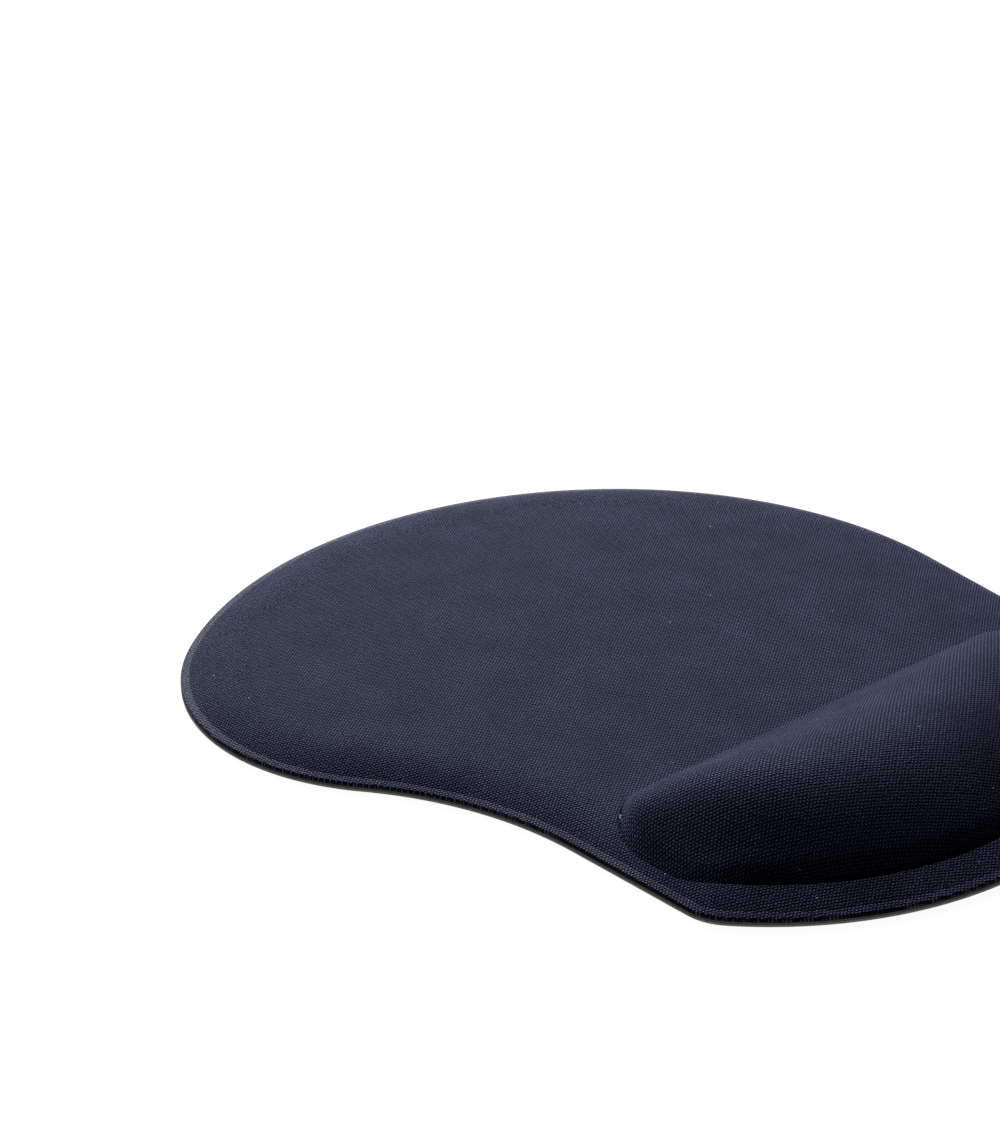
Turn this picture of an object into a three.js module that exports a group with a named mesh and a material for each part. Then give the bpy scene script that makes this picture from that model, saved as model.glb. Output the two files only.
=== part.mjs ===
// Mouse pad with a built-in gel wrist rest, in millimetres.
//
// The pad is a laminate: a non-slip base sheet, a foam mat with an opening for the gel pad, and a
// stretch-knit cover over both, joined by hot-melt films and pressed flat all round its rim.
// +Z is up, +Y points away from the user and +X to the user's right. The origin lies under the
// middle of the pad, on the surface that it rests on.
//
// Every layer is built on one net of rays and rings. A ray runs from a point of the pad's outline
// to a point of the wrist rest's outline and on to the rest's spine. A layer has its own heights on
// that net, so neighbouring layers never cross.

import * as THREE from "three";
import { mergeVertices } from "three/addons/utils/BufferGeometryUtils.js";

// Plan, drawn around the centre of the mousing area and then stretched to its real proportions.
const PLAN_STRETCH = new THREE.Vector2(1.039, 0.9624);
const MAIN_RADIUS = 113.4;
const FRONT_CENTRE = new THREE.Vector2(9.9, -45.4);
const FRONT_RADIUS = 94.1;
const CORNER_RADIUS = 14.4;
const LEFT_SIDE_X = -67.7;
const NOTCH_RADIUS = 99.8;
const NOTCH_Y = -57.8;
const LOBE_RADIUS = 67.1;

// The wrist rest's outline, in the same plan.
const REST_MARGIN = 10.1;
const REST_HALF_WIDTH = 72.1;
const REST_BACK_CORNER = 20;
const REST_FRONT_CORNER = 22;
const REST_BACK_Y = -60.8;
const REST_BACK_SLOPE = -0.094;

// The spine: a line under the top of the rest, measured from the rest's middle. The net ends there.
const SPINE_HALF_LENGTH = 36;
const SPINE_Y = -94;

// The rest's crown: how sharply it rises from its back and its front, and how far its ends reach.
const CROWN_BACK = 1.3;
const CROWN_FRONT = 1.15;
const CROWN_POWER = 1.1;
const LEFT_END = 45;
const RIGHT_END = 56;
const END_POWER = 3;
const FOOT_ROUND = 4;
const FOOT_RISE = 1.6;

// Where the crease round the rest fades out: near the back, and away from the rest's ends.
const BACK_SHARE = 0.625;
const BACK_CREASE_FADE = 18;

// Thicknesses, from the table up.
const BASE_THICKNESS = 0.6;
const BOND_GAP = 0.1;
const FILM_THICKNESS = 0.1;
const COVER_THICKNESS = 0.5;
const GEL_FILM_THICKNESS = 0.2;

// Heights of the cover's outer face.
const EDGE_TOP = 2.1;
const RIM_TOP = 2.5;
const MAT_TOP = 5.2;
const CREASE_DROP = 1;
const REST_TOP = 19.1;

// Across the pressed rim, the step inside it and the shoulder that rises from the step.
const RIM_WIDTH = 2.2;
const STEP_WIDTH = 0.4;
const STEP_RISE = 0.12;
const SHOULDER_WIDTH = 14;
const SHOULDER_POWER = 2.2;

// The foam's opening is a little larger than the rest, and the gel pad's flange lies inside it.
const OPENING_MARGIN = 3;
const OPENING_SHARE = 0.25;
const FLANGE_SHARE = 0.6;

// Rings across the shoulder, as shares of its width or of the gap between the step and the rest.
const SHOULDER_FOOT = 1 / 3;
const FOOT_GAP = 1 / 4;
const TOP_GAP = 1 / 2;

// How finely the net is drawn: steps round the pad's outline and the rest's outline, and shares of
// the way from the rest's edge to its spine.
const PAD_STEPS = { main: 26, lobe: 10, notch: 7, left: 4, corner: 4, front: 17, right: 4 };
const REST_STEPS = 48;
const REST_SHARES = [0.95, 0.85, 0.7, 0.5, 0.3, 0.12];

const lerp = THREE.MathUtils.lerp;
const clamp = THREE.MathUtils.clamp;
const smooth = (value) => THREE.MathUtils.smoothstep(value, 0, 1);

// Points along an arc, without its last one.
function arc(centre, radius, from, to, steps) {
  const points = [];
  for (let i = 0; i < steps; i += 1) {
    const angle = lerp(from, to, i / steps);
    const spoke = new THREE.Vector2(Math.cos(angle), Math.sin(angle));
    points.push(spoke.multiplyScalar(radius).add(centre));
  }
  return points;
}

// Points along a straight line, without its last one.
function line(from, to, steps) {
  const points = [];
  for (let i = 0; i < steps; i += 1) {
    points.push(from.clone().lerp(to, i / steps));
  }
  return points;
}

const onCircle = (centre, radius, angle) => arc(centre, radius, angle, angle, 1)[0];

// Direction from one point to another, as an angle from 0 to one full turn.
function heading(from, to) {
  const angle = Math.atan2(to.y - from.y, to.x - from.x);
  return angle < 0 ? angle + 2 * Math.PI : angle;
}

// The upper one of the two points at given distances from two centres.
function crossing(a, distanceA, b, distanceB) {
  const between = a.distanceTo(b);
  const along = (distanceA ** 2 - distanceB ** 2 + between ** 2) / (2 * between);
  const aside = Math.sqrt(distanceA ** 2 - along ** 2);
  const direction = b.clone().sub(a).normalize();
  const left = new THREE.Vector2(-direction.y, direction.x);
  const first = a.clone().addScaledVector(direction, along).addScaledVector(left, aside);
  const second = first.clone().addScaledVector(left, -2 * aside);
  return first.y > second.y ? first : second;
}

// The pad's outline, anticlockwise: the round mousing area, the left lobe, the notch beside the
// wrist, the front-left corner, the front, and the straight right side that joins the two circles.
function padOutline() {
  const main = new THREE.Vector2(0, 0);
  const notch = new THREE.Vector2(LEFT_SIDE_X - NOTCH_RADIUS, NOTCH_Y);
  const lobe = crossing(main, MAIN_RADIUS - LOBE_RADIUS, notch, NOTCH_RADIUS + LOBE_RADIUS);
  const cornerX = LEFT_SIDE_X + CORNER_RADIUS;
  const cornerDrop = Math.sqrt((FRONT_RADIUS - CORNER_RADIUS) ** 2 - (cornerX - FRONT_CENTRE.x) ** 2);
  const corner = new THREE.Vector2(cornerX, FRONT_CENTRE.y - cornerDrop);

  const spread = Math.acos((MAIN_RADIUS - FRONT_RADIUS) / FRONT_CENTRE.length());
  const sideAngle = FRONT_CENTRE.angle() - 2 * Math.PI + spread;
  const lobeStart = heading(main, lobe);
  const notchStart = heading(notch, lobe);
  const cornerEnd = heading(FRONT_CENTRE, corner);

  return [
    ...arc(main, MAIN_RADIUS, sideAngle, lobeStart, PAD_STEPS.main),
    ...arc(lobe, LOBE_RADIUS, lobeStart, notchStart + Math.PI, PAD_STEPS.lobe),
    ...arc(notch, NOTCH_RADIUS, notchStart, 0, PAD_STEPS.notch),
    ...line(
      new THREE.Vector2(LEFT_SIDE_X, NOTCH_Y),
      new THREE.Vector2(LEFT_SIDE_X, corner.y),
      PAD_STEPS.left,
    ),
    ...arc(corner, CORNER_RADIUS, Math.PI, cornerEnd, PAD_STEPS.corner),
    ...arc(FRONT_CENTRE, FRONT_RADIUS, cornerEnd, 2 * Math.PI + sideAngle, PAD_STEPS.front),
    ...line(
      onCircle(FRONT_CENTRE, FRONT_RADIUS, sideAngle),
      onCircle(main, MAIN_RADIUS, sideAngle),
      PAD_STEPS.right,
    ),
  ];
}

// The wrist rest's outline, anticlockwise: a nearly straight back, two rounded ends and a front
// that follows the pad's front at an even margin.
function restOutline() {
  const radius = FRONT_RADIUS - REST_MARGIN;
  const backY = (x) => REST_BACK_Y + REST_BACK_SLOPE * (x - FRONT_CENTRE.x);
  const backNormal = Math.atan2(1, -REST_BACK_SLOPE);
  const backDrop = REST_BACK_CORNER * Math.hypot(1, REST_BACK_SLOPE);
  const ends = [1, -1].map((side) => {
    const backX = FRONT_CENTRE.x + side * (REST_HALF_WIDTH - REST_BACK_CORNER);
    const frontOffset = REST_HALF_WIDTH - REST_FRONT_CORNER;
    const frontDrop = Math.sqrt((radius - REST_FRONT_CORNER) ** 2 - frontOffset ** 2);
    return {
      back: new THREE.Vector2(backX, backY(backX) - backDrop),
      front: new THREE.Vector2(FRONT_CENTRE.x + side * frontOffset, FRONT_CENTRE.y - frontDrop),
    };
  });
  const [right, left] = ends;
  const leftTurn = heading(FRONT_CENTRE, left.front);
  const rightTurn = heading(FRONT_CENTRE, right.front);
  return [
    ...arc(right.back, REST_BACK_CORNER, 0, backNormal, REST_STEPS),
    ...line(
      onCircle(right.back, REST_BACK_CORNER, backNormal),
      onCircle(left.back, REST_BACK_CORNER, backNormal),
      REST_STEPS,
    ),
    ...arc(left.back, REST_BACK_CORNER, backNormal, Math.PI, REST_STEPS),
    ...arc(left.front, REST_FRONT_CORNER, Math.PI, leftTurn, REST_STEPS),
    ...arc(FRONT_CENTRE, radius, leftTurn, rightTurn, REST_STEPS),
    ...arc(right.front, REST_FRONT_CORNER, rightTurn, 2 * Math.PI, REST_STEPS),
  ];
}

// The point where a ray from a centre meets a closed outline around it.
function hit(outline, centre, angle) {
  const ray = new THREE.Vector2(Math.cos(angle), Math.sin(angle));
  for (let i = 0; i < outline.length; i += 1) {
    const a = outline[i].clone().sub(centre);
    const b = outline[(i + 1) % outline.length].clone().sub(centre);
    const sideA = ray.cross(a);
    const sideB = ray.cross(b);
    if (sideA <= 0 && sideB > 0 && a.dot(ray) > 0) {
      return a.lerp(b, sideA / (sideA - sideB)).add(centre);
    }
  }
  throw new Error("the ray misses the outline");
}

// The same outline moved inwards by an even distance.
function inset(outline, distance) {
  return outline.map((point, i) => {
    const before = outline[(i + outline.length - 1) % outline.length];
    const after = outline[(i + 1) % outline.length];
    const along = after.clone().sub(before).normalize();
    return point.clone().add(new THREE.Vector2(-along.y, along.x).multiplyScalar(distance));
  });
}

// Places a plan point between two others, at a distance from the first.
function towards(from, to, distance) {
  return from.clone().lerp(to, distance / from.distanceTo(to));
}

// How far the rest has risen at a point, from 0 at its edge to 1 along its crest, and how far the
// point is at the rest's back, where there is no crease.
function crown(point) {
  const plan = point.clone().divide(PLAN_STRETCH);
  const aside = plan.x - FRONT_CENTRE.x;
  const fromBack = Math.max(REST_BACK_Y + REST_BACK_SLOPE * aside - plan.y, 0);
  const fromFront = Math.max(FRONT_RADIUS - REST_MARGIN - plan.distanceTo(FRONT_CENTRE), 0);
  const profile = (share) => share ** CROWN_BACK * (1 - share) ** CROWN_FRONT;
  const crest = profile(CROWN_BACK / (CROWN_BACK + CROWN_FRONT));
  const share = fromBack / (fromBack + fromFront);
  const across = profile(share) / crest;
  const left = (REST_HALF_WIDTH + aside) * PLAN_STRETCH.x;
  const right = (REST_HALF_WIDTH - aside) * PLAN_STRETCH.x;
  const end = (reach, length) => 1 - (1 - clamp(reach / length, 0, 1)) ** END_POWER;
  const ends = end(left, LEFT_END) * end(right, RIGHT_END);
  const awayFromEnds = smooth(left / BACK_CREASE_FADE) * smooth(right / BACK_CREASE_FADE);
  const atBack = (1 - smooth(share / BACK_SHARE)) * awayFromEnds;
  return { risen: (across * ends) ** CROWN_POWER, atBack };
}

// The net: plan points for each ring, with the cover's height there.
function makeNet() {
  const stretch = (points) => points.map((point) => point.clone().multiply(PLAN_STRETCH));
  const outline = stretch(padOutline());
  const restEdge = stretch(restOutline());
  const spineMiddle = new THREE.Vector2(FRONT_CENTRE.x, SPINE_Y).multiply(PLAN_STRETCH);
  const land = inset(outline, RIM_WIDTH);
  const step = inset(outline, RIM_WIDTH + STEP_WIDTH);
  const edge = outline.map((point) => hit(restEdge, spineMiddle, heading(spineMiddle, point)));
  const spine = edge.map((point) => {
    const offset = clamp(point.x - spineMiddle.x, -SPINE_HALF_LENGTH, SPINE_HALF_LENGTH);
    return new THREE.Vector2(spineMiddle.x + offset, spineMiddle.y);
  });

  const shoulder = (distance) => {
    const left = 1 - clamp(distance / SHOULDER_WIDTH, 0, 1);
    return lerp(MAT_TOP, RIM_TOP + STEP_RISE, left ** SHOULDER_POWER);
  };
  const rings = [
    { name: "outline", points: outline, heights: outline.map(() => EDGE_TOP) },
    { name: "land", points: land, heights: land.map(() => RIM_TOP) },
    { name: "step", points: step, heights: step.map(() => shoulder(0)) },
  ];
  const addBetween = (name, distanceFrom) => {
    const distances = step.map((point, i) => distanceFrom(point.distanceTo(edge[i])));
    const points = step.map((point, i) => towards(point, edge[i], distances[i]));
    rings.push({ name, points, heights: distances.map(shoulder) });
  };
  addBetween("shoulder_foot", (gap) => Math.min(SHOULDER_WIDTH * SHOULDER_FOOT, gap * FOOT_GAP));
  addBetween("shoulder_top", (gap) => Math.min(SHOULDER_WIDTH, gap * TOP_GAP));
  const margin = (gap) => Math.min(OPENING_MARGIN, gap * OPENING_SHARE);
  addBetween("opening", (gap) => gap - margin(gap));
  addBetween("flange", (gap) => gap - margin(gap) * FLANGE_SHARE);
  const mat = step.map((point, i) => shoulder(point.distanceTo(edge[i])));
  const crease = (i, atBack) => mat[i] - CREASE_DROP * (1 - atBack);
  const creases = edge.map((point, i) => crease(i, crown(point).atBack));
  rings.push({ name: "rest_edge", points: edge, heights: creases });
  for (const share of REST_SHARES) {
    const points = edge.map((point, i) => spine[i].clone().lerp(point, share));
    const heights = points.map((point, i) => {
      const { risen, atBack } = crown(point);
      const foot = clamp(point.distanceTo(edge[i]) / FOOT_ROUND, 0, 1);
      const round = lerp(1 - (1 - foot) ** 2, 1, atBack);
      const low = crease(i, atBack);
      const bulge = FOOT_RISE * (1 - atBack);
      return low + lerp(bulge, REST_TOP - low, risen) * round;
    });
    rings.push({ name: "rest", points, heights });
  }
  return rings;
}

const net = makeNet();
const ringAt = (name) => net.findIndex((ring) => ring.name === name);
const RAYS = net[0].points.length;
const CENTRE = new THREE.Box2().setFromPoints(net[0].points).getCenter(new THREE.Vector2());

// Depths below the cover's outer face.
const UNDER_COVER = COVER_THICKNESS + BOND_GAP;
const UNDER_FILM = UNDER_COVER + FILM_THICKNESS + BOND_GAP;
const UNDER_GEL_FILM = UNDER_FILM + GEL_FILM_THICKNESS + BOND_GAP;

// Levels above the table.
const BASE_FILM_LEVEL = BASE_THICKNESS + BOND_GAP;
const CORE_LEVEL = BASE_FILM_LEVEL + FILM_THICKNESS + BOND_GAP;
const GEL_LEVEL = CORE_LEVEL + GEL_FILM_THICKNESS + BOND_GAP;
const FLANGE_TOP = GEL_LEVEL + GEL_FILM_THICKNESS;

const below = (depth) => (ring, i) => ring.heights[i] - depth;
const level = (height) => () => height;

// A closed solid between two height functions, from one ring of the net inwards to another. With
// no inner ring it runs to the spine and is closed there.
function layer({ from = "outline", to = null, top, bottom }) {
  const first = ringAt(from);
  const last = to === null ? net.length - 1 : ringAt(to);
  const rings = net.slice(first, last + 1);
  const positions = [];
  const corner = (ring, i, height) => {
    const point = ring.points[i % RAYS];
    return [point.x - CENTRE.x, point.y - CENTRE.y, height(ring, i % RAYS)];
  };
  const triangle = (a, b, c) => positions.push(...a, ...b, ...c);
  const quad = (a, b, c, d) => {
    triangle(a, b, c);
    triangle(a, c, d);
  };
  const wall = (ring, i, low, high) => {
    quad(corner(ring, i, low), corner(ring, i + 1, low), corner(ring, i + 1, high), corner(ring, i, high));
  };
  // Both faces split their quads along the same diagonal, so that the faces of two layers match.
  const faces = (outer, inner, i) => {
    const around = [[outer, i], [outer, i + 1], [inner, i + 1], [inner, i]];
    const [a, b, c, d] = around.map(([ring, j]) => corner(ring, j, top));
    triangle(a, b, c);
    triangle(a, c, d);
    const [e, f, g, h] = around.map(([ring, j]) => corner(ring, j, bottom));
    triangle(e, g, f);
    triangle(e, h, g);
  };
  for (let i = 0; i < RAYS; i += 1) {
    for (let r = 0; r + 1 < rings.length; r += 1) {
      faces(rings[r], rings[r + 1], i);
    }
    wall(rings[0], i, bottom, top);
    if (to !== null) {
      wall(rings.at(-1), i, top, bottom);
    }
  }
  if (to === null) {
    const ring = rings.at(-1);
    for (const [a, b, c] of THREE.ShapeUtils.triangulateShape(ring.points, [])) {
      triangle(corner(ring, a, top), corner(ring, b, top), corner(ring, c, top));
      triangle(corner(ring, c, bottom), corner(ring, b, bottom), corner(ring, a, bottom));
    }
  }
  const geometry = new THREE.BufferGeometry();
  geometry.setAttribute("position", new THREE.Float32BufferAttribute(positions, 3));
  const closed = mergeVertices(geometry);
  closed.computeVertexNormals();
  return closed;
}

// A flat sheet cut to one ring of the net.
function sheet(ringName, bottom, thickness) {
  const points = net[ringAt(ringName)].points.map((point) => point.clone().sub(CENTRE));
  const settings = { depth: thickness, bevelEnabled: false };
  return new THREE.ExtrudeGeometry(new THREE.Shape(points), settings).translate(0, 0, bottom);
}

const KNIT = new THREE.MeshStandardMaterial({ color: 0x1b2033, roughness: 0.95, metalness: 0 });
const FILM = new THREE.MeshStandardMaterial({ color: 0x4b4b4d, roughness: 0.5, metalness: 0 });
const FOAM = new THREE.MeshStandardMaterial({ color: 0x88857d, roughness: 0.9, metalness: 0 });
const GEL_FILM = new THREE.MeshStandardMaterial({ color: 0xa9bfd0, roughness: 0.25, metalness: 0 });
const GEL = new THREE.MeshStandardMaterial({ color: 0x5f93b8, roughness: 0.15, metalness: 0 });
const BASE = new THREE.MeshStandardMaterial({ color: 0xd7ccbf, roughness: 0.85, metalness: 0 });

const group = new THREE.Group();

function add(name, geometry, material) {
  const mesh = new THREE.Mesh(geometry, material.clone());
  mesh.name = name;
  group.add(mesh);
}

// The gel's top film lies flat on its flange and rises over the gel from the rest's edge inwards.
const flangeRings = new Set([ringAt("flange"), ringAt("rest_edge")]);
const onFlange = (ring) => flangeRings.has(net.indexOf(ring));
const gelFilmTop = (ring, i) => (onFlange(ring) ? FLANGE_TOP : ring.heights[i] - UNDER_FILM);
const gelFilmBottom = (ring, i) => gelFilmTop(ring, i) - GEL_FILM_THICKNESS;

add("non_slip_base", sheet("outline", 0, BASE_THICKNESS), BASE);
add("base_bonding_film", sheet("outline", BASE_FILM_LEVEL, FILM_THICKNESS), FILM);
add("foam_mat", layer({ to: "opening", top: below(UNDER_FILM), bottom: level(CORE_LEVEL) }), FOAM);
add("gel_bottom_film", sheet("flange", CORE_LEVEL, GEL_FILM_THICKNESS), GEL_FILM);
add("gel_core", layer({ from: "rest", top: below(UNDER_GEL_FILM), bottom: level(GEL_LEVEL) }), GEL);
add("gel_top_film", layer({ from: "flange", top: gelFilmTop, bottom: gelFilmBottom }), GEL_FILM);
const underBond = UNDER_COVER + FILM_THICKNESS;
add("cover_bonding_film", layer({ top: below(UNDER_COVER), bottom: below(underBond) }), FILM);
add("knit_cover", layer({ top: below(0), bottom: below(COVER_THICKNESS) }), KNIT);

export default group;
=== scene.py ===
import math

import bpy
import numpy as np
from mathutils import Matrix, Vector
from mathutils.geometry import delaunay_2d_cdt


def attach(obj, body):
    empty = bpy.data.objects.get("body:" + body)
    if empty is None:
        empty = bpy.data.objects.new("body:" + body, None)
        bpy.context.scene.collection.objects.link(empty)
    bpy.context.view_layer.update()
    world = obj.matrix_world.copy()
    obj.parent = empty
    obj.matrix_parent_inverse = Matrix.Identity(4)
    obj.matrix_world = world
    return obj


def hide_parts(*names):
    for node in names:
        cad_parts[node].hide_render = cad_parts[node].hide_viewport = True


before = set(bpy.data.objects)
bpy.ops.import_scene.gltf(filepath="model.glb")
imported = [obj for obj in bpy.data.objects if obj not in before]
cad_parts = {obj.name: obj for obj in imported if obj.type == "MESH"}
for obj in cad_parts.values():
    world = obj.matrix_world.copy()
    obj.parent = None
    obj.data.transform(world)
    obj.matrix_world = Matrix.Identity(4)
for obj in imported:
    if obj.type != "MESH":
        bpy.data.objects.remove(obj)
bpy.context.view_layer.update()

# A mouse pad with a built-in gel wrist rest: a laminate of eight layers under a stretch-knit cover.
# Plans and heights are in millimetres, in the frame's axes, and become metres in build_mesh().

MM = 0.001
TINY = 1e-9
ROOT = "root"

# Distances are worked out for this many points at a time, to spare memory.
CHUNK = 2000

# The pad's plan, drawn round the centre of the mousing area and then stretched, as on the CAD part.
PLAN_STRETCH = np.array([1.039, 0.9624])
MAIN_RADIUS = 113.4
FRONT_CENTRE = np.array([9.9, -45.4])
FRONT_RADIUS = 94.1
CORNER_RADIUS = 14.4
LEFT_SIDE_X = -67.7
NOTCH_RADIUS = 99.8
NOTCH_Y = -57.8
LOBE_RADIUS = 67.1

# The wrist rest's plan.
REST_MARGIN = 10.1
REST_HALF_WIDTH = 72.1
REST_BACK_CORNER = 20.0
REST_FRONT_CORNER = 22.0
REST_BACK_Y = -60.8
REST_BACK_SLOPE = -0.094

# Heights of the cover's outer face.
RIM_TOP = 2.5
MAT_TOP = 5.2
CREASE_DROP = 1.0
REST_TOP = 19.1

# Across the pressed rim and the shoulder that rises from it.
RIM_WIDTH = 2.2
LAND_FALL = 0.4
STEP_WIDTH = 0.4
STEP_RISE = 0.12
EDGE_ROUND = 0.4
SHOULDER_WIDTH = 14.0
SHOULDER_POWER = 2.2

# The valley round the rest, and the rest's own crown.
VALLEY_WIDTH = 0.5
CROWN_BACK = 1.3
CROWN_FRONT = 1.15
CROWN_POWER = 1.1
LEFT_END = 45.0
RIGHT_END = 56.0
END_POWER = 3.0
FOOT_ROUND = 4.0
FOOT_RISE = 1.6

# Where the crease fades out: over this share of the way from the back, and this far from the ends.
BACK_SHARE = 0.625
BACK_CREASE_FADE = 18.0

# Thicknesses and levels, from the table up.
BASE_THICKNESS = 0.6
FILM_THICKNESS = 0.1
COVER_THICKNESS = 0.5
GEL_FILM_THICKNESS = 0.2
BOND_GAP = 0.02

# The knit: the distance between wales and between courses.
WALE = 0.743
COURSE = 0.872

# Spacing of the points on the plan curves, which every distance is measured to.
CURVE_SPACING = 0.8


# ---------------------------------------------------------------------------------------------
# Plan curves
# ---------------------------------------------------------------------------------------------

def arc(centre, radius, start, end, count=60):
    angle = np.linspace(start, end, count, endpoint=False)
    return np.asarray(centre) + radius * np.column_stack([np.cos(angle), np.sin(angle)])


def heading(start, end):
    dx, dy = np.asarray(end) - np.asarray(start)
    return math.atan2(dy, dx) % (2 * math.pi)


def upper_crossing(a, distance_a, b, distance_b):
    """The upper of the two points at given distances from a and b."""
    between = math.dist(a, b)
    along = (distance_a ** 2 - distance_b ** 2 + between ** 2) / (2 * between)
    aside = math.sqrt(distance_a ** 2 - along ** 2)
    direction = (b - a) / between
    left = np.array([-direction[1], direction[0]])
    points = [a + along * direction + side * aside * left for side in (1, -1)]
    return max(points, key=lambda point: point[1])


def pad_plan():
    """The mousing area, the left lobe, the notch beside the wrist, the front-left corner and the front."""
    main = np.zeros(2)
    notch = np.array([LEFT_SIDE_X - NOTCH_RADIUS, NOTCH_Y])
    lobe = upper_crossing(main, MAIN_RADIUS - LOBE_RADIUS, notch, NOTCH_RADIUS + LOBE_RADIUS)
    corner_x = LEFT_SIDE_X + CORNER_RADIUS
    corner_drop = math.sqrt((FRONT_RADIUS - CORNER_RADIUS) ** 2 - (corner_x - FRONT_CENTRE[0]) ** 2)
    corner = np.array([corner_x, FRONT_CENTRE[1] - corner_drop])
    spread = math.acos((MAIN_RADIUS - FRONT_RADIUS) / np.hypot(*FRONT_CENTRE))
    side_angle = heading(main, FRONT_CENTRE) - 2 * math.pi + spread
    corner_end = heading(FRONT_CENTRE, corner)
    return np.concatenate([
        arc(main, MAIN_RADIUS, side_angle, heading(main, lobe), 300),
        arc(lobe, LOBE_RADIUS, heading(main, lobe), heading(notch, lobe) + math.pi, 100),
        arc(notch, NOTCH_RADIUS, heading(notch, lobe), 0, 80),
        arc(corner, CORNER_RADIUS, math.pi, corner_end, 50),
        arc(FRONT_CENTRE, FRONT_RADIUS, corner_end, 2 * math.pi + side_angle, 200),
    ])


def rest_plan():
    """A nearly straight back, two round ends, and a front at an even margin from the pad's front."""
    radius = FRONT_RADIUS - REST_MARGIN
    back_normal = math.atan2(1, -REST_BACK_SLOPE)
    back_drop = REST_BACK_CORNER * math.hypot(1, REST_BACK_SLOPE)
    front_offset = REST_HALF_WIDTH - REST_FRONT_CORNER
    front_drop = math.sqrt((radius - REST_FRONT_CORNER) ** 2 - front_offset ** 2)
    backs, fronts = [], []
    for side in (1, -1):
        offset = side * (REST_HALF_WIDTH - REST_BACK_CORNER)
        back_y = REST_BACK_Y + REST_BACK_SLOPE * offset - back_drop
        backs.append(np.array([FRONT_CENTRE[0] + offset, back_y]))
        fronts.append(FRONT_CENTRE + np.array([side * front_offset, -front_drop]))
    left_turn = heading(FRONT_CENTRE, fronts[1])
    right_turn = heading(FRONT_CENTRE, fronts[0])
    return np.concatenate([
        arc(backs[0], REST_BACK_CORNER, 0, back_normal),
        arc(backs[1], REST_BACK_CORNER, back_normal, math.pi),
        arc(fronts[1], REST_FRONT_CORNER, math.pi, left_turn),
        arc(FRONT_CENTRE, radius, left_turn, right_turn, 200),
        arc(fronts[0], REST_FRONT_CORNER, right_turn, 2 * math.pi),
    ])


def resample(curve, spacing):
    """The closed curve with its points an even distance apart."""
    closed = np.vstack([curve, curve[:1]])
    travelled = np.concatenate([[0], np.cumsum(np.hypot(*np.diff(closed, axis=0).T))])
    count = round(travelled[-1] / spacing)
    at = np.arange(count) * travelled[-1] / count
    return np.column_stack([np.interp(at, travelled, closed[:, axis]) for axis in (0, 1)])


def offset(curve, distance):
    """The closed anticlockwise curve moved inwards by an even distance."""
    along = np.roll(curve, -1, 0) - np.roll(curve, 1, 0)
    along /= np.hypot(*along.T)[:, None]
    return curve + distance * np.column_stack([-along[:, 1], along[:, 0]])


stretched_pad = pad_plan() * PLAN_STRETCH
CENTRE = (stretched_pad.min(0) + stretched_pad.max(0)) / 2
OUTLINE = resample(stretched_pad - CENTRE, CURVE_SPACING)
REST_EDGE = resample(rest_plan() * PLAN_STRETCH - CENTRE, CURVE_SPACING)


def depth_inside(points, curve):
    """Each point's distance inside a closed curve, negative outside it."""
    x, y = curve.T.astype(np.float32)
    step_x, step_y = np.roll(x, -1) - x, np.roll(y, -1) - y
    length = step_x ** 2 + step_y ** 2
    slope = step_x / np.where(step_y == 0, 1, step_y)
    result = np.empty(len(points))
    for first in range(0, len(points), CHUNK):
        px, py = points[first:first + CHUNK].T[..., None].astype(np.float32)
        away_x, away_y = px - x, py - y
        share = np.clip((away_x * step_x + away_y * step_y) / length, 0, 1)
        distance = np.sqrt(((away_x - share * step_x) ** 2 + (away_y - share * step_y) ** 2).min(1))
        above = away_y < 0
        crosses = (above != np.roll(above, -1, 1)) & (away_x < slope * away_y)
        inside = crosses.sum(1) % 2 == 1
        result[first:first + CHUNK] = np.where(inside, distance, -distance)
    return result


# ---------------------------------------------------------------------------------------------
# Heights
# ---------------------------------------------------------------------------------------------

def smooth(value):
    value = np.clip(value, 0, 1)
    return value * value * (3 - 2 * value)


def mat_height(depth):
    """The cover's height by the distance inside the pad's outline: rim, step, shoulder, flat."""
    edge = EDGE_ROUND * (1 - np.sqrt(1 - (1 - np.clip(depth / EDGE_ROUND, 0, 1)) ** 2))
    land = LAND_FALL * np.clip(1 - depth / RIM_WIDTH, 0, 1)
    step = STEP_RISE * smooth((depth - RIM_WIDTH) / STEP_WIDTH)
    rise = MAT_TOP - RIM_TOP - STEP_RISE
    inner = np.clip((depth - RIM_WIDTH - STEP_WIDTH) / SHOULDER_WIDTH, 0, 1)
    return RIM_TOP - edge - land + step + rise * (1 - (1 - inner) ** SHOULDER_POWER)


def crown(points):
    """How far the rest has risen, from 0 at its edge to 1 at its crest, and where its back is."""
    x, y = ((points + CENTRE) / PLAN_STRETCH).T
    x = x - FRONT_CENTRE[0]
    scale_x, scale_y = PLAN_STRETCH
    from_back = np.maximum(REST_BACK_Y + REST_BACK_SLOPE * x - y, 0) * scale_y
    front_reach = FRONT_RADIUS - REST_MARGIN - np.hypot(x, y - FRONT_CENTRE[1])
    from_front = np.maximum(front_reach, 0) * scale_y
    share = from_back / (from_back + from_front + TINY)
    peak = CROWN_BACK / (CROWN_BACK + CROWN_FRONT)
    across = share ** CROWN_BACK * (1 - share) ** CROWN_FRONT
    across /= peak ** CROWN_BACK * (1 - peak) ** CROWN_FRONT
    at_back = 1 - smooth(share / BACK_SHARE)
    for distance, length in ((REST_HALF_WIDTH + x, LEFT_END), (REST_HALF_WIDTH - x, RIGHT_END)):
        across = across * (1 - (1 - np.clip(distance * scale_x / length, 0, 1)) ** END_POWER)
        at_back = at_back * smooth(distance * scale_x / BACK_CREASE_FADE)
    return across ** CROWN_POWER, at_back


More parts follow.
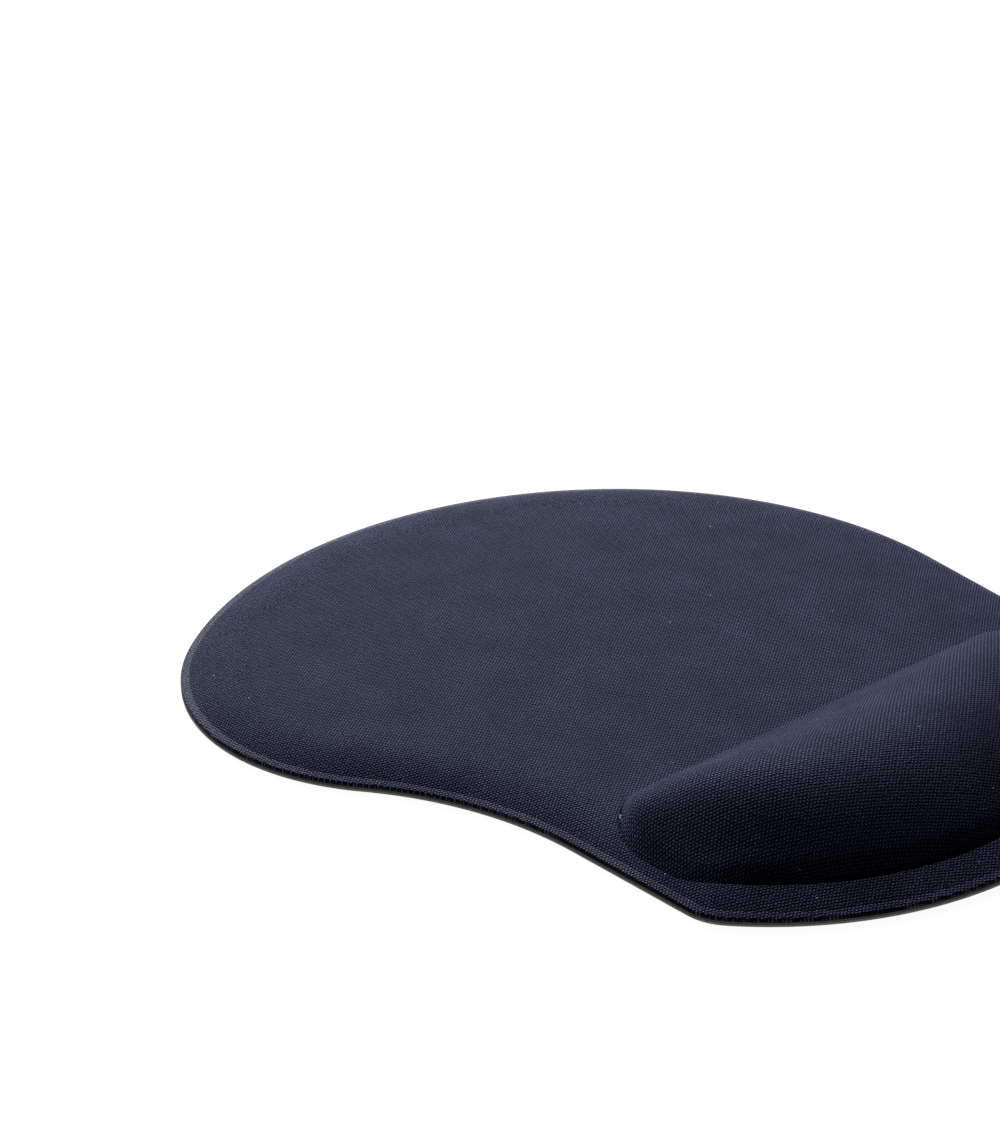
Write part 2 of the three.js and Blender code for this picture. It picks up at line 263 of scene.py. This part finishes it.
def cover_height(points):
    """Height of the cover's outer face above the table."""
    depth = depth_inside(points, OUTLINE)
    rest_depth = depth_inside(points, REST_EDGE)
    mat = mat_height(depth)
    risen, at_back = crown(points)
    crease = mat - CREASE_DROP * (1 - at_back)
    outside = mat + (crease - mat) * np.exp(-(rest_depth / VALLEY_WIDTH) ** 2)
    foot = 1 - (1 - np.clip(rest_depth / FOOT_ROUND, 0, 1)) ** 2
    bulge = FOOT_RISE * (1 - at_back)
    inside = crease + (bulge + (REST_TOP - crease - bulge) * risen) * (foot + (1 - foot) * at_back)
    return np.where(rest_depth > 0, inside, outside), depth, rest_depth


# ---------------------------------------------------------------------------------------------
# Meshes
# ---------------------------------------------------------------------------------------------

# Where the net has lines of its own, as distances inside the pad's outline and inside the rest's.
RIM_LINES = (0, 0.06, 0.16, 0.35, 1.1, 1.9, 2.2, 2.3, 2.42, 2.54, 2.65, 2.9, 3.5, 4.6)
OPENING_LINE = -2.4
FLANGE_LINE = -1.5
GEL_LINE = 1.0
REST_LINES = (-4.0, -3.2, OPENING_LINE, -2.0, FLANGE_LINE, -1.1, -0.75, -0.45, -0.2, 0,
              0.12, 0.3, 0.6, GEL_LINE, 1.5, 2.1, 2.8, 3.6, 4.5)
COARSE_RIM_LINES = (0, 1.1, 2.2, 2.65, 4.6)
COARSE_REST_LINES = (-4.0, OPENING_LINE, FLANGE_LINE, -0.75, 0, 0.3, GEL_LINE, 2.1, 3.6)

# A grid keeps this share of its spacing clear of the lines beside it.
GRID_CLEARANCE = 0.6
CDT_TOLERANCE = 1e-7


class Net:
    """A triangle net over the pad's plan, finest at the rim and at the crease round the rest."""

    def __init__(self, along, mat_spacing, rest_spacing, rim_lines, rest_lines):
        curves = [resample(offset(OUTLINE, d), along) for d in rim_lines]
        curves += [resample(offset(REST_EDGE, d), along) for d in rest_lines]
        grids = []
        for spacing in (mat_spacing, rest_spacing):
            clearance = GRID_CLEARANCE * spacing
            grid = self.triangular_grid(spacing)
            depth = depth_inside(grid, OUTLINE)
            rest_depth = depth_inside(grid, REST_EDGE)
            if spacing is mat_spacing:
                keep = (depth > rim_lines[-1] + clearance) & (rest_depth < rest_lines[0] - clearance)
            else:
                keep = rest_depth > rest_lines[-1] + clearance
            grids.append(grid[keep])
        points = np.concatenate(curves + grids)
        edges = []
        start = 0
        for curve in curves:
            count = len(curve)
            edges += [(start + i, start + (i + 1) % count) for i in range(count)]
            start += count
        vertices, _, faces, _, _, _ = delaunay_2d_cdt(
            [Vector(p) for p in points], edges, [list(range(len(curves[0])))], 1, CDT_TOLERANCE, True)
        self.points = np.array([tuple(v) for v in vertices])
        self.faces = np.array([list(f) for f in faces])
        middles = self.points[self.faces].mean(1)
        self.faces = self.faces[depth_inside(middles, OUTLINE) > 0]
        corners = self.points[self.faces]
        side, other = corners[:, 1] - corners[:, 0], corners[:, 2] - corners[:, 0]
        turned = side[:, 0] * other[:, 1] - side[:, 1] * other[:, 0] < 0
        self.faces[turned] = self.faces[turned][:, ::-1]
        self.height, self.depth, self.rest_depth = cover_height(self.points)
        self.middle_rest_depth = self.rest_depth[self.faces].mean(1)

    @staticmethod
    def triangular_grid(spacing):
        low, high = OUTLINE.min(0), OUTLINE.max(0)
        row_step = spacing * math.sqrt(3) / 2
        rows = np.arange(low[1], high[1], row_step)
        columns = np.arange(low[0], high[0], spacing)
        x, y = np.meshgrid(columns, rows)
        x = x + (np.arange(len(rows)) % 2)[:, None] * spacing / 2
        return np.column_stack([x.ravel(), y.ravel()])


def build_mesh(name, net, top, bottom, inner=math.inf, outer=-math.inf):
    """A closed layer between two heights, over the net's faces between two distances into the rest."""
    keep = (net.middle_rest_depth > outer) & (net.middle_rest_depth < inner)
    used, faces = np.unique(net.faces[keep], return_inverse=True)
    faces = faces.reshape(-1, 3)
    count = len(used)
    plan = net.points[used]
    upper = np.column_stack([plan, np.broadcast_to(top, len(net.points))[used]])
    lower = np.column_stack([plan, np.broadcast_to(bottom, len(net.points))[used]])
    directed = np.concatenate([faces[:, [0, 1]], faces[:, [1, 2]], faces[:, [2, 0]]])
    keys = directed[:, 0] * count + directed[:, 1]
    reverse = directed[:, 1] * count + directed[:, 0]
    rim = directed[~np.isin(keys, reverse)]
    walls = np.column_stack([rim[:, 0] + count, rim[:, 1] + count, rim[:, 1], rim[:, 0]])
    polygons = faces.tolist() + (faces[:, ::-1] + count).tolist() + walls.tolist()
    mesh = bpy.data.meshes.new(name)
    mesh.from_pydata((np.concatenate([upper, lower]) * MM).tolist(), [], polygons)
    mesh.polygons.foreach_set("use_smooth", np.ones(len(polygons), bool))
    corner_count = {(min(a, b), max(a, b)) for a, b in rim.tolist()}
    corner_count |= {(a + count, b + count) for a, b in corner_count}
    sharp = np.array([tuple(sorted(e.vertices)) in corner_count for e in mesh.edges])
    mesh.attributes.new("sharp_edge", "BOOLEAN", "EDGE").data.foreach_set("value", sharp)
    mesh.update()
    piece = bpy.data.objects.new(name, mesh)
    bpy.context.scene.collection.objects.link(piece)
    return piece, used


def store(piece, name, values):
    """Keeps one number for each vertex of a piece, for its material to read."""
    attribute = piece.data.attributes.new(name, "FLOAT", "POINT")
    attribute.data.foreach_set("value", values.astype(np.float32))


# ---------------------------------------------------------------------------------------------
# Materials
# ---------------------------------------------------------------------------------------------

class Shader:
    """A material with one Principled shader, and a short way to write its maths."""

    def __init__(self, name, settings):
        self.material = bpy.data.materials.new(name)
        self.material.use_nodes = True
        self.tree = self.material.node_tree
        self.surface = self.tree.nodes["Principled BSDF"]
        for socket, value in settings.items():
            self.surface.inputs[socket].default_value = value

    def add(self, kind, inputs=None, **settings):
        node = self.tree.nodes.new(kind)
        for key, value in settings.items():
            setattr(node, key, value)
        for key, value in (inputs or {}).items():
            self.put(node.inputs[key], value)
        return node

    def put(self, socket, value):
        if isinstance(value, bpy.types.NodeSocket):
            self.tree.links.new(value, socket)
        else:
            socket.default_value = value

    def math(self, operation, *values):
        return self.add("ShaderNodeMath", dict(enumerate(values)), operation=operation).outputs[0]

    def attribute(self, name):
        return self.add("ShaderNodeAttribute", attribute_name=name)

    def ramp(self, factor, *stops):
        node = self.add("ShaderNodeValToRGB", {"Fac": factor})
        elements = node.color_ramp.elements
        while len(elements) < len(stops):
            elements.new(0.5)
        for element, (position, colour) in zip(elements, stops):
            element.position = position
            element.color = (*colour, 1)
        return node.outputs["Color"]

    def mix(self, factor, first, second):
        node = self.add("ShaderNodeMix", data_type="RGBA")
        self.put(node.inputs["Factor"], factor)
        self.put(node.inputs[6], first)
        self.put(node.inputs[7], second)
        return node.outputs[2]

    def noise(self, vector, scale, detail=2, roughness=0.5):
        inputs = {"Vector": vector, "Scale": scale, "Detail": detail, "Roughness": roughness}
        return self.add("ShaderNodeTexNoise", inputs).outputs["Fac"]

    def bump(self, height, distance):
        inputs = {"Height": height, "Distance": distance, "Strength": 1.0}
        return self.add("ShaderNodeBump", inputs).outputs["Normal"]

    def set(self, socket, value):
        self.put(self.surface.inputs[socket], value)


# Lint: cells this far apart hold at most one speck each, of this radius, and few hold one.
LINT_SPACING = 18
LINT_SIZE = 0.2
LINT_RARITY = 0.8

# Relief of the knit's loops and of the base's grip, and the distance between the grip's bumps.
KNIT_RELIEF = 0.95
GRIP_RELIEF = 0.12
GRIP_PITCH = 1.6


def knit_material():
    shader = Shader("knit", {
        "IOR": 1.4,
        "Specular IOR Level": 0.08,
        "Specular Tint": (0.35, 0.48, 1, 1),
        "Sheen Weight": 0.12,
        "Sheen Roughness": 0.42,
        "Sheen Tint": (0.35, 0.46, 1, 1),
    })
    cloth = shader.attribute("cloth").outputs["Vector"]
    press = shader.attribute("press").outputs["Fac"]
    wobble = shader.noise(cloth, 0.9, 1)
    split = shader.add("ShaderNodeSeparateXYZ", {0: cloth})
    drift = shader.math("MULTIPLY_ADD", wobble, 0.5, -0.25)
    wale = shader.math("MULTIPLY", shader.math("ADD", split.outputs["X"], drift), math.pi / WALE)
    course = shader.math("MULTIPLY", shader.math("ADD", split.outputs["Y"], drift), 2 * math.pi / COURSE)
    loop = shader.math("MULTIPLY", shader.math("COSINE", wale), shader.math("COSINE", course))
    rib = shader.math("COSINE", shader.math("MULTIPLY", wale, 2))
    height = shader.math("MULTIPLY_ADD", rib, 0.2, shader.math("MULTIPLY", loop, 0.5))
    fibre = shader.noise(cloth, 2.2, 3, 0.7)
    height = shader.math("MULTIPLY_ADD", fibre, 1.1, height)
    relief = shader.math("MULTIPLY", height, shader.math("MULTIPLY_ADD", press, -0.6, 1.0))
    normal = shader.bump(relief, KNIT_RELIEF * MM)
    patch = shader.noise(cloth, 0.06, 3, 0.6)
    # The colour follows the knit's relief: painted shade darkens the pits between the loops and painted
    # highlight lightens the loops' crowns. This lies over the yarn's own dark navy and a slow, patchy
    # lightening and darkening.
    painted_shade_and_tone = shader.math("MULTIPLY_ADD", height, 0.55, 0.15)
    painted_shade_and_tone = shader.math("ADD", painted_shade_and_tone, shader.math("MULTIPLY_ADD", patch, 0.28, -0.14))
    colour = shader.ramp(painted_shade_and_tone, (0.16, (0.0004, 0.0005, 0.0012)), (0.42, (0.0095, 0.0112, 0.0225)),
                         (0.95, (0.2, 0.228, 0.43)))
    lint = shader.add("ShaderNodeTexVoronoi", {"Vector": cloth, "Scale": 1 / LINT_SPACING},
                      voronoi_dimensions="2D")
    near = shader.math("LESS_THAN", lint.outputs["Distance"], LINT_SIZE / LINT_SPACING)
    chance = shader.add("ShaderNodeSeparateXYZ", {0: lint.outputs["Color"]}).outputs["X"]
    kept = shader.math("GREATER_THAN", chance, LINT_RARITY)
    colour = shader.mix(shader.math("MULTIPLY", near, kept), colour, (0.5, 0.52, 0.56, 1))
    shader.set("Base Color", colour)
    shader.set("Roughness", shader.math("MULTIPLY_ADD", press, -0.25, 0.85))
    shader.set("Normal", normal)
    return shader.material


def base_material():
    shader = Shader("base_rubber", {"Roughness": 0.8, "Specular IOR Level": 0.4})
    place = shader.add("ShaderNodeTexCoord").outputs["Object"]
    grain = shader.noise(place, 2600, 3, 0.6)
    split = shader.add("ShaderNodeSeparateXYZ", {0: place})
    turn = 2 * math.pi / (GRIP_PITCH * MM)
    waves = [shader.math("COSINE", shader.math("MULTIPLY", split.outputs[axis], turn)) for axis in "XY"]
    grip = shader.math("MULTIPLY_ADD", shader.math("MULTIPLY", *waves), 0.25, grain)
    colour = shader.ramp(grip, (0.2, (0.56, 0.49, 0.41)), (0.8, (0.76, 0.69, 0.6)))
    shader.set("Base Color", colour)
    shader.set("Normal", shader.bump(grip, GRIP_RELIEF * MM))
    return shader.material


def foam_material():
    shader = Shader("foam", {"Roughness": 0.9, "Specular IOR Level": 0.2})
    place = shader.add("ShaderNodeTexCoord").outputs["Object"]
    cells = shader.add("ShaderNodeTexVoronoi", {"Vector": place, "Scale": 3000}).outputs["Distance"]
    colour = shader.ramp(cells, (0.1, (0.16, 0.15, 0.13)), (0.6, (0.32, 0.3, 0.26)))
    shader.set("Base Color", colour)
    shader.set("Normal", shader.bump(cells, 0.1 * MM))
    return shader.material


def film_material(name, colour, roughness):
    shader = Shader(name, {"Roughness": roughness, "Specular IOR Level": 0.5})
    place = shader.add("ShaderNodeTexCoord").outputs["Object"]
    streaks = shader.noise(place, 140, 4, 0.6)
    darker = tuple(0.8 * part for part in colour)
    shader.set("Base Color", shader.ramp(streaks, (0.35, darker), (0.65, colour)))
    shader.set("Normal", shader.bump(streaks, 0.03 * MM))
    return shader.material


def gel_material():
    shader = Shader("gel", {"Roughness": 0.12, "IOR": 1.41, "Subsurface Weight": 0.6,
                            "Subsurface Scale": 4 * MM, "Subsurface Radius": (0.4, 0.8, 1.0)})
    place = shader.add("ShaderNodeTexCoord").outputs["Object"]
    clouds = shader.noise(place, 60, 3, 0.5)
    shader.set("Base Color", shader.ramp(clouds, (0.3, (0.08, 0.22, 0.38)), (0.7, (0.13, 0.3, 0.48))))
    shader.set("Normal", shader.bump(clouds, 0.1 * MM))
    return shader.material


# ---------------------------------------------------------------------------------------------
# The pieces
# ---------------------------------------------------------------------------------------------

def finish_piece(piece, node, material):
    piece.data.materials.append(material)
    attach(piece, ROOT)
    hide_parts(node)


fine = Net(1.0, 1.9, 1.2, RIM_LINES, REST_LINES)
coarse = Net(2.0, 4.0, 2.2, COARSE_RIM_LINES, COARSE_REST_LINES)


# The cloth's pattern is worked out on a grid of this step, this far round the rest. On slopes
# steeper than the steepest one it is stretched.
CLOTH_STEP = 0.6
CLOTH_MARGIN = 3
STEEPEST_CLOTH = 1.0


def cloth_places(points):
    """Where each point lies on the cloth, which stretches evenly over the rest in both directions."""
    step = CLOTH_STEP
    low = REST_EDGE.min(0) - CLOTH_MARGIN
    high = REST_EDGE.max(0) + CLOTH_MARGIN
    columns = np.arange(low[0], high[0], step)
    rows = np.arange(low[1], high[1], step)
    x, y = np.meshgrid(columns, rows)
    grid = np.column_stack([x.ravel(), y.ravel()])
    height, _, rest_depth = cover_height(grid)
    height = height.reshape(x.shape)
    on_rest = (rest_depth > 0).reshape(x.shape)
    places = []
    for axis in (1, 0):
        slope = np.clip(np.gradient(height, step, axis=axis), -STEEPEST_CLOTH, STEEPEST_CLOTH)
        length = np.where(on_rest, np.sqrt(1 + slope ** 2), 0) * step
        travelled = np.cumsum(length, axis=axis)
        total = travelled.take([-1], axis=axis)
        count = on_rest.sum(axis=axis, keepdims=True) * step
        inside = np.cumsum(on_rest, axis=axis) * step
        even = travelled / np.maximum(total, TINY) * count
        places.append(np.where(on_rest, even - inside, 0))
    column = (points[:, 0] - low[0]) / step
    row = (points[:, 1] - low[1]) / step
    c = np.clip(column.astype(int), 0, len(columns) - 2)
    r = np.clip(row.astype(int), 0, len(rows) - 2)
    fc, fr = column - c, row - r
    near = (points > low).all(1) & (points < high).all(1)
    result = points.copy()
    for axis, place in enumerate(places):
        upper = place[r, c] * (1 - fc) + place[r, c + 1] * fc
        lower = place[r + 1, c] * (1 - fc) + place[r + 1, c + 1] * fc
        result[:, axis] += np.where(near, upper * (1 - fr) + lower * fr, 0)
    return result


def make_cover():
    piece, used = build_mesh("knit_cover_cloth", fine, fine.height, fine.height - COVER_THICKNESS)
    depth = np.tile(fine.depth[used], 2)
    store(piece, "press", 1 - smooth((depth - RIM_WIDTH) / STEP_WIDTH))
    places = np.tile(cloth_places(fine.points[used]), (2, 1))
    cloth = piece.data.attributes.new("cloth", "FLOAT_VECTOR", "POINT")
    flat = np.column_stack([places, np.zeros(len(places))])
    cloth.data.foreach_set("vector", flat.astype(np.float32).ravel())
    finish_piece(piece, "knit_cover", knit_material())
    return piece


cover = make_cover()
under_cover = coarse.height - COVER_THICKNESS - BOND_GAP
under_film = under_cover - FILM_THICKNESS - BOND_GAP
base_film_level = BASE_THICKNESS + BOND_GAP
core_level = base_film_level + FILM_THICKNESS + BOND_GAP
gel_level = core_level + GEL_FILM_THICKNESS + BOND_GAP
film_rise = smooth((coarse.rest_depth + 0.2) / (GEL_LINE + 0.2))
gel_film_top = gel_level + GEL_FILM_THICKNESS + (under_film - gel_level - GEL_FILM_THICKNESS) * film_rise

film = film_material("hot_melt_film", (0.07, 0.07, 0.075), 0.5)
gel_film = film_material("gel_film", (0.36, 0.5, 0.62), 0.25)



def make_layer(name, node, slot, material, net, top, bottom, **limits):
    """One layer of the laminate, in the place of its CAD solid."""
    piece, _ = build_mesh(name, net, top, bottom, **limits)
    finish_piece(piece, node, material)
    return piece


make_layer("non_slip_base_sheet", "non_slip_base", "base", base_material(),
           fine, BASE_THICKNESS, 0)
make_layer("base_bonding_film_sheet", "base_bonding_film", "bonding_film", film,
           coarse, base_film_level + FILM_THICKNESS, base_film_level)
foam = make_layer("foam_mat_block", "foam_mat", "foam", foam_material(),
                  coarse, under_film, core_level, inner=OPENING_LINE)
make_layer("gel_bottom_film_sheet", "gel_bottom_film", "gel_film", gel_film,
           coarse, core_level + GEL_FILM_THICKNESS, core_level, outer=FLANGE_LINE)
gel_top = gel_film_top - GEL_FILM_THICKNESS - BOND_GAP
gel = make_layer("gel_core_block", "gel_core", "gel", gel_material(),
                 coarse, gel_top, gel_level, outer=GEL_LINE)
make_layer("gel_top_film_sheet", "gel_top_film", "gel_film", gel_film,
           coarse, gel_film_top, gel_film_top - GEL_FILM_THICKNESS, outer=FLANGE_LINE)
make_layer("cover_bonding_film_sheet", "cover_bonding_film", "bonding_film", film,
           coarse, under_cover, under_cover - FILM_THICKNESS)


# ---------------------------------------------------------------------------------------------
# Floor, lights and camera
# ---------------------------------------------------------------------------------------------

CAMERA_PLACE = Vector((-0.37664, -0.32379, 0.2725))
CAMERA_AIM = Vector((0.0136, 0.07604, 0))
CAMERA_LENS = 66.98
CAMERA_SENSOR = 36

# The light's place along the view, to its left and up, its size and its radiance.
LIGHT_AHEAD = 1.25
LIGHT_LEFT = 0.4
LIGHT_UP = 0.65
LIGHT_SIZE = (1.4, 1.2)
LIGHT_RADIANCE = 11.5
WORLD_STRENGTH = 0.015

# The floor glows for the camera and gives the object only the second of these.
FLOOR_REACH = 4
FLOOR_SHOWN = 0.96
FLOOR_GIVEN = 0.25


def make_floor():
    mesh = bpy.data.meshes.new("floor")
    corners = [(FLOOR_REACH * x, FLOOR_REACH * y, 0) for x, y in ((-1, -1), (1, -1), (1, 1), (-1, 1))]
    mesh.from_pydata(corners, [], [(0, 1, 2, 3)])
    floor = bpy.data.objects.new("floor", mesh)
    floor.location.z = -0.01 * MM
    bpy.context.scene.collection.objects.link(floor)
    shader = Shader("floor_white", {"Base Color": (0.06, 0.06, 0.06, 1), "Roughness": 0.9,
                                    "Specular IOR Level": 0.1, "Emission Color": (1, 1, 1, 1)})
    seen = shader.add("ShaderNodeLightPath").outputs["Is Camera Ray"]
    glow = shader.math("MULTIPLY_ADD", seen, FLOOR_SHOWN - FLOOR_GIVEN, FLOOR_GIVEN)
    shader.set("Emission Strength", glow)
    mesh.materials.append(shader.material)


def soft_light(name, place, size, radiance):
    """A rectangular soft light of an even radiance, aimed at the origin."""
    data = bpy.data.lights.new(name, "AREA")
    data.shape = "RECTANGLE"
    data.size, data.size_y = size
    data.energy = radiance * math.pi * size[0] * size[1]
    light = bpy.data.objects.new(name, data)
    light.location = place
    light.rotation_euler = (-place).to_track_quat("-Z", "Y").to_euler()
    bpy.context.scene.collection.objects.link(light)


def make_lights():
    ahead = (CAMERA_AIM - CAMERA_PLACE)
    ahead.z = 0
    ahead.normalize()
    up = Vector((0, 0, 1))
    left = up.cross(ahead)
    place = LIGHT_AHEAD * ahead + LIGHT_LEFT * left + LIGHT_UP * up
    soft_light("back_softbox", place, LIGHT_SIZE, LIGHT_RADIANCE)
    world = bpy.data.worlds.new("studio")
    world.use_nodes = True
    tree = world.node_tree
    shown = tree.nodes.new("ShaderNodeBackground")
    shown.inputs["Color"].default_value = (0.93, 0.94, 0.96, 1)
    tree.nodes["Background"].inputs["Color"].default_value = (0.8, 0.86, 1, 1)
    tree.nodes["Background"].inputs["Strength"].default_value = WORLD_STRENGTH
    choice = tree.nodes.new("ShaderNodeMixShader")
    tree.links.new(tree.nodes.new("ShaderNodeLightPath").outputs["Is Camera Ray"], choice.inputs[0])
    tree.links.new(tree.nodes["Background"].outputs[0], choice.inputs[1])
    tree.links.new(shown.outputs[0], choice.inputs[2])
    tree.links.new(choice.outputs[0], tree.nodes["World Output"].inputs["Surface"])
    bpy.context.scene.world = world


def make_camera():
    data = bpy.data.cameras.new("camera")
    data.lens = CAMERA_LENS
    data.sensor_width = CAMERA_SENSOR
    data.clip_start = 0.01
    camera = bpy.data.objects.new("camera", data)
    camera.location = CAMERA_PLACE
    camera.rotation_euler = (CAMERA_AIM - CAMERA_PLACE).to_track_quat("-Z", "Y").to_euler()
    bpy.context.scene.collection.objects.link(camera)
    bpy.context.scene.camera = camera


make_floor()
make_lights()
make_camera()
bpy.context.scene.view_settings.view_transform = "Standard"
